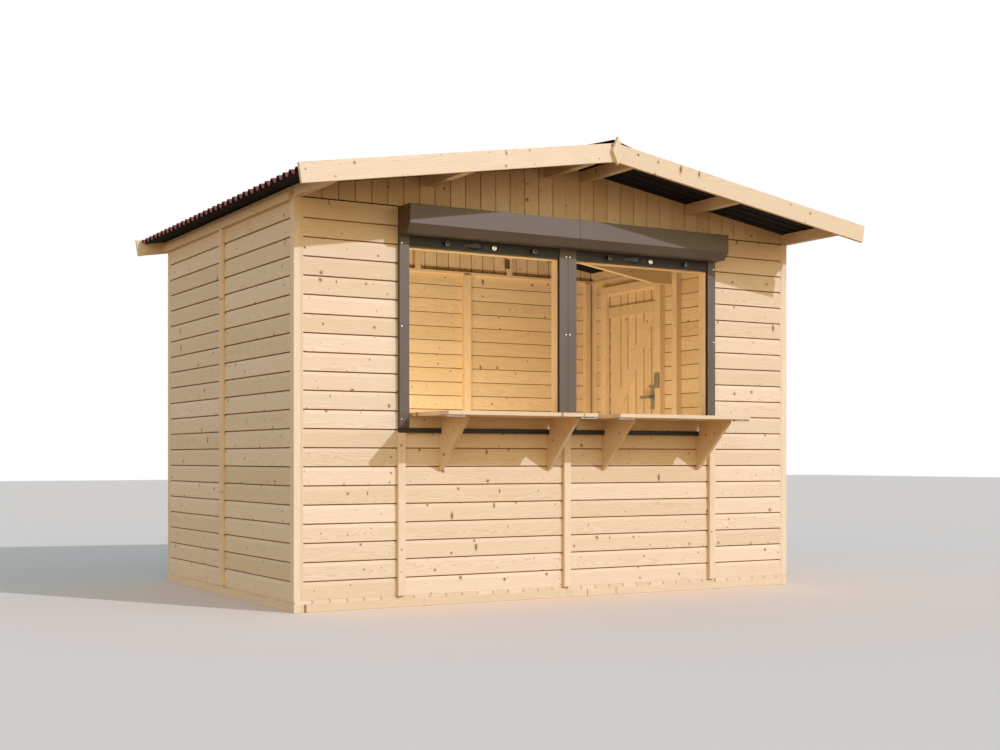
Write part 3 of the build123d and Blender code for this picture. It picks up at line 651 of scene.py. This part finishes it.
def layGable(node, outward):
    low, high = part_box(node)
    depth = high.y - low.y
    face = low.y if outward < 0 else high.y
    bm = newTimber()
    step, groove, gap = gable["coverMm"] * mm, gable["grooveMm"] * mm, gable["openMm"] * mm
    sealHigh, sealBack = (size * mm for size in gable["sealMm"])
    for side, first in zip((-1, 1), gable["firstMm"]):
        inner, outer = 0.0, first * mm
        while inner < halfWidth - 1 * mm:
            outer = min(outer, halfWidth)
            place = Matrix(((0, 0, 1), (side, 0, 0), (0, -outward, 0))).transposed().to_4x4()
            place.translation = Vector((side * inner, face, low.z + sealHigh))
            slant = Vector((side * roofRise, 0, 1)).normalized()
            top = gableTop(inner) - low.z + 2 * mm
            outline, tongue = uprightOutline(outer - inner, depth, groove, gap)
            addOutline(bm, outline, place, top, [((0, 0, gableTop(0)), slant)], tongue)
            inner, outer = outer, outer + step
    finishPiece(node + "_boards", bm, spruce, stands=[node])
    # A foam sealing strip at the gable's foot, coloured near black as painted shade for the shadow line
    # there.
    strip = bmesh.new()
    bmesh.ops.create_cube(strip, size=1)
    span = Vector((2 * halfWidth - 2 * sealBack, depth - 2 * sealBack, sealHigh))
    middle = Vector((0, (low.y + high.y) / 2, low.z + sealHigh / 2))
    bmesh.ops.transform(strip, matrix=Matrix.Translation(middle) @ Matrix.Diagonal((*span, 1)),
                        verts=strip.verts)
    finishPiece(node + "_seal", strip, sealShadePaint, slotName="shutter_plastic")


layGable("front_gable", -1)
layGable("rear_gable", 1)


gablePlate = {"sizeMm": (36, 3, 62), "bottomMm": 2011, "xMm": (-788, 788), "easeMm": 0.8, "aboveWallMm": 60}


def addGablePlates():
    # Thin dark brown plates on the inner faces of the rear gable's middle studs.
    bm = newTimber()
    width, deep, tall = (size * mm for size in gablePlate["sizeMm"])
    inner = min(low.y for low, high in solidsOf("studs")
                if high.z > wallTop + gablePlate["aboveWallMm"] * mm and low.y > 0)
    bottom = gablePlate["bottomMm"] * mm
    for x in gablePlate["xMm"]:
        low = (x * mm - width / 2, inner - deep, bottom)
        addBeam(bm, low, (low[0] + width, inner, bottom + tall), gablePlate["easeMm"] * mm)
    finishPiece("gable_dark_plates", bm, darkBrownPlate)


addGablePlates()
print("gables boarded")


# Floor: two frames of bearers and joists, with boards running front to back

floor = {
    "coverMm": 90,
    "firstJointMm": -1436,  # the first joint, from the middle
    "gapMm": 2.4,
    "tongueMm": (6, 7),  # thickness and reach
    "looseMm": 1,  # how much larger the groove is, all round
    "easeMm": 0.6,
    "bearerMm": 38,
    "joistMm": 45,
    "joistCount": 7,
    "joistGapMm": 0.3,
    "frameEaseMm": 0.8,
}


def floorOutline(width, depth):
    # y runs across the board and z down from its top face.
    edge, ease, loose = width - floor["gapMm"] * mm, floor["easeMm"] * mm, floor["looseMm"] * mm
    tongueThick, reach = (size * mm for size in floor["tongueMm"])
    upper, lower = (depth - tongueThick) / 2, (depth + tongueThick) / 2
    return [(0, ease), (ease, 0), (edge - ease, 0), (edge, ease),
            (edge, upper), (edge + reach, upper), (edge + reach, lower),
            (edge, lower), (edge, depth), (0, depth), (0, lower + loose),
            (reach + loose, lower + loose), (reach + loose, upper - loose), (0, upper - loose)]


def layFloor():
    low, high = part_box("floor_boards")
    bm = newTimber()
    left, right = -halfWidth, halfWidth
    joints = [left]
    joint = floor["firstJointMm"] * mm
    while joint < right - 10 * mm:
        joints.append(joint)
        joint += floor["coverMm"] * mm
    joints.append(right)
    place = Matrix(((0, 1, 0), (1, 0, 0), (0, 0, -1))).transposed().to_4x4()
    for a, b in zip(joints[:-1], joints[1:]):
        place.translation = Vector((a, low.y, high.z))
        outline = floorOutline(b - a, high.z - low.z)
        if b == right:
            outline = [(y, z) for y, z in outline if y <= b - a + weld]  # its tongue is cut off
        addOutline(bm, outline, place, high.y - low.y)
    finishPiece("floor_boards_laid", bm, spruce, stands=["floor_boards"])

    bm = newTimber()
    bearer, joist = floor["bearerMm"] * mm, floor["joistMm"] * mm
    gap, ease = floor["joistGapMm"] * mm, floor["frameEaseMm"] * mm
    top = low.z
    for start in (-halfWidth, -bearer, 0, halfWidth - bearer):
        addBeam(bm, (start, -halfDepth, 0), (start + bearer, halfDepth, top), ease)
    spacing = (2 * halfDepth - joist) / (floor["joistCount"] - 1)
    for index in range(floor["joistCount"]):
        y = -halfDepth + index * spacing
        for start, end in ((-halfWidth + bearer, -bearer), (bearer, halfWidth - bearer)):
            addBeam(bm, (start + gap, y, 0), (end - gap, y + joist, top), ease)
    finishPiece("floor_frame_timbers", bm, spruce, stands=["floor_frame"])


layFloor()
print("floor laid")


# Frame timbers, roof timbers and trim

posts = {"mainMm": 36.6, "lineMm": 0.9, "easeMm": (0.8, 0.6)}  # a thick timber, the seam and a thin one
bm = newTimber()
seam, line = posts["mainMm"] * mm, posts["lineMm"] * mm
thickEase, thinEase = (size * mm for size in posts["easeMm"])
for low, high in solidsOf("corner_posts"):
    if low.x < 0:
        addBeam(bm, low, (low.x + seam, high.y, high.z), thickEase)
        addBeam(bm, (low.x + seam + line, low.y, low.z), high, thinEase)
    else:
        addBeam(bm, (high.x - seam, low.y, low.z), high, thickEase)
        addBeam(bm, low, (high.x - seam - line, high.y, high.z), thinEase)
finishPiece("corner_post_timbers", bm, spruce, stands=["corner_posts"])

for node in ("top_plates", "front_jamb_boards", "opening_posts", "opening_rails", "joint_battens",
             "outer_purlins", "ridge_purlins", "bargeboards_left", "bargeboards_right",
             "ridge_plates", "door_jambs", "door_head"):
    dressTimber(node + "_timber", [node])
dressTimber("middle_truss_timber", ["middle_truss"], halves=True)
dressTimber("bracket_boards", ["shelf_brackets"], along=(0, 0.25, 1))

studs = {"doubledMm": (45, 55)}  # wall studs of this width are two timbers side by side
bm = newTimber()
for solid in solidsOf("studs"):
    width = solid[1].x - solid[0].x
    narrowest, widest = (size * mm for size in studs["doubledMm"])
    doubled = narrowest < width < widest and solid[1].z < wallTop + 1 * mm
    middle = (solid[0].x + solid[1].x) / 2
    for low, high in splitAt(solid, 0, (middle,) if doubled else ()):
        addBeam(bm, low, high)
finishPiece("stud_timbers", bm, spruce, stands=["studs"])

bm = newTimber()
for solid in solidsOf("eave_battens"):
    for low, high in splitAt(solid, 1, (0.0,)):
        addBeam(bm, low, high)
finishPiece("eave_batten_lengths", bm, spruce, stands=["eave_battens"])
print("timbers dressed")


# Corrugated roof sheets

roof = {
    "wavePitchMm": 76,
    "waveHeightMm": 28,
    "sheetMm": 3,
    "stepsPerHalfWave": 9,
    "stepsUpSlope": 12,
    "smoothDegrees": 50,
    "capEaseMm": 0.8,
    "upwards": 0.05,  # a face whose normal rises more than this is red, and the others are black
}


def finishSheet(name, bm, node, smoothAngle=None):
    for face in bm.faces:
        face.material_index = 0 if face.normal.z > roof["upwards"] else 1
    piece = finishPiece(name, bm, bitumenRed, stands=[node], slotName="roof_bitumen",
                        smoothAngle=smoothAngle)
    piece.data.materials.append(bitumenBlack)


def layRoofSheet(side):
    # A grid bent into arcs that meet tangentially, as in the solid that it stands in for.
    node = "roof_sheet_left" if side < 0 else "roof_sheet_right"
    low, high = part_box(node)
    waveHeight, sheet = roof["waveHeightMm"] * mm, roof["sheetMm"] * mm
    run = high.y - low.y
    halfWaves = 2 * int(run / (roof["wavePitchMm"] * mm)) + 1
    halfPitch = run / halfWaves
    arc = (halfPitch ** 2 + waveHeight ** 2) / (4 * waveHeight)
    drop = arc - waveHeight / 2
    tall = waveHeight + sheet
    length = (high.x - low.x - tall * math.sin(roofPitch)) / math.cos(roofPitch)
    bm = bmesh.new()
    bmesh.ops.create_grid(bm, x_segments=roof["stepsUpSlope"],
                          y_segments=halfWaves * roof["stepsPerHalfWave"], size=0.5)
    for vert in bm.verts:
        place = (vert.co.y + 0.5) * halfWaves
        index = min(int(place + same), halfWaves - 1)
        offset = (place - index - 0.5) * halfPitch
        crest = 1 if index % 2 == 0 else -1
        lift = crest * (math.sqrt(max(arc ** 2 - offset ** 2, 0)) - drop)
        vert.co = Vector((vert.co.x * length, vert.co.y * run, lift))
    bmesh.ops.recalc_face_normals(bm, faces=bm.faces)
    bmesh.ops.solidify(bm, geom=bm.faces, thickness=sheet)
    lowest = min(vert.co.z for vert in bm.verts)
    highest = max(vert.co.z for vert in bm.verts)
    bmesh.ops.translate(bm, verts=bm.verts, vec=(0, 0, -(lowest + highest) / 2))
    centre = Vector(((low.x + high.x) / 2, (low.y + high.y) / 2, (low.z + high.z) / 2))
    turn = Matrix.Rotation(roofPitch * side, 4, "Y")
    bmesh.ops.transform(bm, matrix=Matrix.Translation(centre) @ turn, verts=bm.verts)
    bmesh.ops.recalc_face_normals(bm, faces=bm.faces)
    finishSheet(node + "_waves", bm, node, roof["smoothDegrees"])


def layRidgeCap():
    bm = bmesh.new()
    takeNodes(bm, ["ridge_cap"])
    bevelSharp(bm, roof["capEaseMm"] * mm, angle=40)
    finishSheet("ridge_cap_folded", bm, "ridge_cap")


layRoofSheet(-1)
layRoofSheet(1)
layRidgeCap()
print("roof covered")


# Roller shutters

def dressMetal(name, nodes, material, slotName, edge, body="stall"):
    # The nodes' own shapes with their edges eased.
    bm = bmesh.new()
    takeNodes(bm, nodes)
    bevelSharp(bm, edge)
    finishPiece(name, bm, material, body=body, stands=nodes, slotName=slotName)


dressMetal("shutter_box_left_folded", ["shutter_box_left"], shutterCoat, "shutter_paint", 0.7 * mm)
dressMetal("shutter_box_right_folded", ["shutter_box_right"], shutterCoat, "shutter_paint", 0.7 * mm)
dressMetal("shutter_guides_extruded", ["shutter_guides"], shutterCoat, "shutter_paint", 0.8 * mm)
dressMetal("shutter_rail_extruded", ["shutter_bottom_rail"], railCoat, "shutter_paint", 0.8 * mm)
dressMetal("shutter_curtains_rolled", ["shutter_curtains"], railCoat, "shutter_paint", 0.5 * mm)


shutter = {
    "openingsLeftMm": (-930, 53),
    "slatFaceMm": -1009.5,
    "fittingZMm": 1803.5,
    "stopsMm": (205, 716),  # from the opening's left side
    "stopMm": (12, 28),  # radius and length
    "ringMm": (7, 2.5),  # how far from the stop's end, and how thick
    "pullMm": (376, 140, 24, 20),  # middle, length, height and how far it bulges
    "pullSheetMm": 2.4,
    "pullArch": 0.44,  # how far from its middle the arch ends, as a share of the length
    "pullWaist": 0.55,  # the feet's height as a share of the middle's
    "lockMm": (484, 14.5, 7),  # middle, radius and length
    "keySlotMm": (4, 2, 11),
    "capMm": (4.4, 1.8),  # a screw cap's radius and length
    "taper": 0.8,
    "rounding": 40,  # a fitting is smooth where its faces meet at fewer degrees
    "capXMm": (-971.4, -11.6, 11.6, 971.4),
    "capZMm": (925, 1381, 1789),
    "guideFaceMm": -1016,
}


def addRound(bm, centre, radii, length):
    # A closed turned part pointing forwards from its centre, with a radius at each end and an eased rim.
    made = bmesh.ops.create_cone(bm, cap_ends=True, segments=32, radius1=radii[0], radius2=radii[1],
                                 depth=length)
    rim = [edge for edge in once(e for v in made["verts"] for e in v.link_edges)
           if all(vert.co.z > 0 for vert in edge.verts)]
    bevelled = bmesh.ops.bevel(bm, geom=rim, offset=min(1 * mm, length * 0.3), segments=2, profile=0.5,
                               affect="EDGES", material=-1)["verts"]
    verts = once([v for v in made["verts"] if v.is_valid] + list(bevelled))
    middle = Vector(centre) + Vector((0, -length / 2, 0))
    place = Matrix.Translation(middle) @ Matrix.Rotation(math.radians(90), 4, "X")
    bmesh.ops.transform(bm, matrix=place, verts=verts)


def addPull(bm, left, z, face):
    # A strap bent outwards in an arch, with flat feet on the slat.
    middle, length, tall, bulge = (size * mm for size in shutter["pullMm"])
    sheet, waist = shutter["pullSheetMm"] * mm, shutter["pullWaist"]
    strip = bmesh.new()
    bmesh.ops.create_grid(strip, x_segments=24, y_segments=4, size=0.5)
    for vert in strip.verts:
        x = vert.co.x
        rise = 0.5 + 0.5 * math.cos(math.pi * min(1.0, abs(x) / shutter["pullArch"]))
        narrow = waist + (1 - waist) * rise
        vert.co = Vector((x * length, -rise * (bulge - sheet), vert.co.y * tall * narrow))
    bmesh.ops.recalc_face_normals(strip, faces=strip.faces)
    bmesh.ops.solidify(strip, geom=strip.faces, thickness=sheet)
    nearest = max(vert.co.y for vert in strip.verts)
    bmesh.ops.translate(strip, verts=strip.verts, vec=(left + middle, face - nearest, z))
    joinInto(bm, strip)


def fitShutters():
    face, z = shutter["slatFaceMm"] * mm, shutter["fittingZMm"] * mm
    taper, rounding = shutter["taper"], shutter["rounding"]
    radius, length = (size * mm for size in shutter["stopMm"])
    ringBack, ringThick = (size * mm for size in shutter["ringMm"])
    lockAt, lockRadius, lockLength = (size * mm for size in shutter["lockMm"])
    stops, rings, pulls, locks = (bmesh.new() for _ in range(4))
    for opening in shutter["openingsLeftMm"]:
        left = opening * mm
        for at in shutter["stopsMm"]:
            addRound(stops, (left + at * mm, face, z), (radius, radius * taper), length - 2 * mm)
            addRound(rings, (left + at * mm, face - length + ringBack, z), (radius * 0.98, radius * 0.98),
                     ringThick)
        addRound(locks, (left + lockAt, face, z), (lockRadius, lockRadius * 0.92), lockLength - 1 * mm)
        addPull(pulls, left, z, face)
        slot = bmesh.ops.create_cube(stops, size=1)["verts"]
        bmesh.ops.scale(stops, vec=[size * mm for size in shutter["keySlotMm"]], verts=slot)
        bmesh.ops.translate(stops, vec=(left + lockAt, face - lockLength + 1 * mm, z), verts=slot)
    nodes = ["shutter_fittings"]
    caps = bmesh.new()
    capRadius, capLength = (size * mm for size in shutter["capMm"])
    for x in shutter["capXMm"]:
        for height in shutter["capZMm"]:
            spot = (x * mm, shutter["guideFaceMm"] * mm, height * mm)
            addRound(caps, spot, (capRadius, capRadius * taper), capLength)
    for name, made, material, slotName, stands in (
            ("shutter_stops", stops, blackPlastic, "shutter_plastic", nodes),
            ("shutter_stop_rings", rings, galvanised, "lock_metal", ()),
            ("shutter_locks", locks, brightZinc, "lock_metal", nodes),
            ("shutter_pulls", pulls, darkStrap, "shutter_paint", nodes),
            ("guide_screw_caps", caps, brightZinc, "galvanised", ())):
        finishPiece(name, made, material, stands=stands, slotName=slotName, smoothAngle=rounding)


fitShutters()
print("shutters finished")


# Shelves

shelf = {"boards": 5, "easeMm": 1.0}
bm = newTimber()
for low, high in solidsOf("shelves"):
    step = (high.y - low.y) / shelf["boards"]
    for index in range(shelf["boards"]):
        y = low.y + index * step
        addBeam(bm, (low.x, y, low.z), (high.x, y + step, high.z), shelf["easeMm"] * mm)
finishPiece("shelf_boards", bm, spruce, stands=["shelves"])
dressMetal("shelf_bars", ["shelf_fittings"], galvanised, "galvanised", 0.8 * mm)
print("shelves finished")


# Door

door = {"boardJointsMm": (298, 385, 475, 568, 650), "gapMm": 3.6, "grooveMm": 2.4, "backGrooveMm": 5,
        "headStopMm": (1491, 1503, 1845, 1866)}  # the stop on the door head, in x and in z


def boardDoor():
    low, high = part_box("door_leaf")
    bm = newTimber()
    stops = [low.y] + [joint * mm for joint in door["boardJointsMm"]] + [high.y]
    for a, b in zip(stops[:-1], stops[1:]):
        place = Matrix(((0, 0, 1), (0, 1, 0), (-1, 0, 0))).transposed().to_4x4()
        place.translation = Vector((high.x, a, low.z))
        outline, tongue = uprightOutline(b - a, high.x - low.x, door["grooveMm"] * mm, door["gapMm"] * mm,
                                         door["backGrooveMm"] * mm)
        addOutline(bm, outline, place, high.z - low.z, (), tongue)
    finishPiece("door_boards", bm, spruce, body="door", stands=["door_leaf"])


boardDoor()
bm = newTimber()
inner, outer, below, above = (size * mm for size in door["headStopMm"])
addBeam(bm, (inner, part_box("door_leaf")[0].y, below), (outer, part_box("door_leaf")[1].y, above))
finishPiece("door_head_stop", bm, spruce)
dressTimber("door_ledge_boards", ["door_ledges"], body="door")
dressTimber("door_brace_boards", ["door_braces"], body="door")
dressMetal("door_strap_hinges", ["door_hinges"], galvanised, "galvanised", 0.5 * mm, body="door")
dressMetal("door_hinge_plates", ["hinge_plates"], galvanised, "galvanised", 0.5 * mm)
dressMetal("door_lock_case", ["door_lock"], galvanised, "lock_metal", 0.8 * mm, body="door")
dressMetal("door_lever", ["door_handle"], galvanised, "lock_metal", 1.5 * mm, body="lever")
dressMetal("door_keeper_block", ["door_keeper"], galvanised, "lock_metal", 0.8 * mm)
print("door finished")


# Floor of the studio, light and camera

studio = {
    "floor": "#F8DCBE",
    "floorHalf": 40,
    "floorDropMm": 0.5,
    "backdrop": "#FFFFFF",
    "sunTravel": (-0.4294, 0.7743, -0.4650),  # from the front right, 28 degrees high
    "sunStrength": 2.49,
    "sunAngle": 0.8,  # degrees
    "sunColour": "#CDDBFF",
    "skyStrength": 2.0,
    # the sky's colours from straight down to straight up, in front of the stall and behind it
    "skyHeights": (0.2, 0.44, 0.54, 0.625, 0.74, 0.86, 1.0),
    "skyFront": ("#402F1B", "#A98E6C", "#E4D2A6", "#F2F2DD", "#C2D0DA", "#5A7192", "#5F7AA0"),
    "skyBack": ("#543F28", "#6C5E53", "#93938F", "#9BA6B4", "#7F98B3", "#5079A0", "#5079A0"),
    "skyBlend": 0.35,  # how far to the front and back the one turns into the other
    "roomLight": ((-0.5, -0.6, 0.3), (-0.5, 0.97, 1.25), (1.9, 0.5), 36, "#FFFEE1"),
    "lensPixels": 1400,  # the focal length in the photograph's pixels
    "imagePixels": 1000,  # the photograph's width
    "shift": 0.0835,
    "cameraAt": (-4.013, -7.192, 0.731),
    "cameraTurn": -30.23,  # degrees, from looking along y; the camera is level
}


def addLamp(name, look):
    # A soft rectangular lamp: where it stands, what it faces, its size, its watts and its colour.
    place, target, size, watts, colour = look
    light = bpy.data.lights.new(name, "AREA")
    light.shape = "RECTANGLE"
    light.size, light.size_y = size
    light.energy = watts
    light.color = toLinear(colour)[:3]
    lamp = bpy.data.objects.new(name, light)
    lamp.location = place
    lamp.rotation_euler = (Vector(target) - Vector(place)).to_track_quat("-Z", "Y").to_euler()
    lamp.visible_camera = False
    bpy.context.scene.collection.objects.link(lamp)


def makeSky():
    # Bright and warm near the horizon, cool and dimmer above; the camera sees a plain backdrop.
    world = bpy.data.worlds.new("studio_sky")
    add = startNodes(world)
    towards = add("TexCoord").outputs["Generated"]
    way = add("SeparateXYZ", inputs={0: towards})
    height = add("MapRange", inputs={0: way.outputs["Z"], 1: -1, 2: 1})
    sides = []
    for part in ("skyFront", "skyBack"):
        stops = [(place, toLinear(colour)) for place, colour in zip(studio["skyHeights"], studio[part])]
        sides.append(add("ValToRGB", {"ramp": stops}, {0: height}))
    behind = add("MapRange", eased, {0: way.outputs["Y"], 1: -studio["skyBlend"], 2: studio["skyBlend"]})
    colour = add("Mix", blend, {0: behind, 6: sides[0], 7: sides[1]})
    sky = add("Background", inputs={"Color": colour, "Strength": studio["skyStrength"]})
    seen = add("Background", inputs={"Color": toLinear(studio["backdrop"])})
    straight = add("LightPath").outputs["Is Camera Ray"]
    both = add("MixShader", inputs={0: straight, 1: sky, 2: seen})
    add("OutputWorld", inputs={"Surface": both})
    bpy.context.scene.world = world


def setStudio():
    bm = bmesh.new()
    bmesh.ops.create_grid(bm, x_segments=1, y_segments=1, size=studio["floorHalf"])
    mesh = bpy.data.meshes.new("studio_floor")
    bm.to_mesh(mesh)
    bm.free()
    material = bpy.data.materials.new("studio_floor_paint")
    add = startNodes(material)
    place = add("TexCoord").outputs["Object"]
    cloud = add("TexNoise", inputs={"Vector": place, "Scale": 0.7, "Detail": 2})
    tone = add("MapRange", inputs={0: cloud.outputs[0], 3: 0.98, 4: 1.0})
    toned = add("Mix", tintBy, {0: 1.0, 6: toLinear(studio["floor"]), 7: tone})
    shader = add("BsdfPrincipled",
                 inputs={"Base Color": toned, "Roughness": 1.0, "Specular IOR Level": 0.0})
    add("OutputMaterial", inputs={"Surface": shader})
    mesh.materials.append(material)
    ground = bpy.data.objects.new("studio_floor", mesh)
    ground.location.z = -studio["floorDropMm"] * mm
    ground.visible_diffuse = False  # the sky's lower half gives the light from below,
    ground.visible_shadow = False  # so the floor neither lights the stall nor shades it
    bpy.context.scene.collection.objects.link(ground)

    light = bpy.data.lights.new("key", "SUN")
    light.energy = studio["sunStrength"]
    light.angle = math.radians(studio["sunAngle"])
    light.color = toLinear(studio["sunColour"])[:3]
    key = bpy.data.objects.new("key", light)
    key.rotation_euler = Vector(studio["sunTravel"]).to_track_quat("-Z", "Y").to_euler()
    bpy.context.scene.collection.objects.link(key)

    makeSky()
    addLamp("room_light", studio["roomLight"])

    camera = bpy.data.cameras.new("camera")
    camera.sensor_width = 36
    camera.lens = studio["lensPixels"] / studio["imagePixels"] * camera.sensor_width
    camera.shift_y = studio["shift"]
    camera.clip_end = 100
    viewer = bpy.data.objects.new("camera", camera)
    viewer.location = studio["cameraAt"]
    viewer.rotation_euler = (math.radians(90), 0, math.radians(studio["cameraTurn"]))
    bpy.context.scene.collection.objects.link(viewer)
    bpy.context.scene.camera = viewer
    bpy.context.scene.view_settings.view_transform = "Standard"


setStudio()
print("studio set")
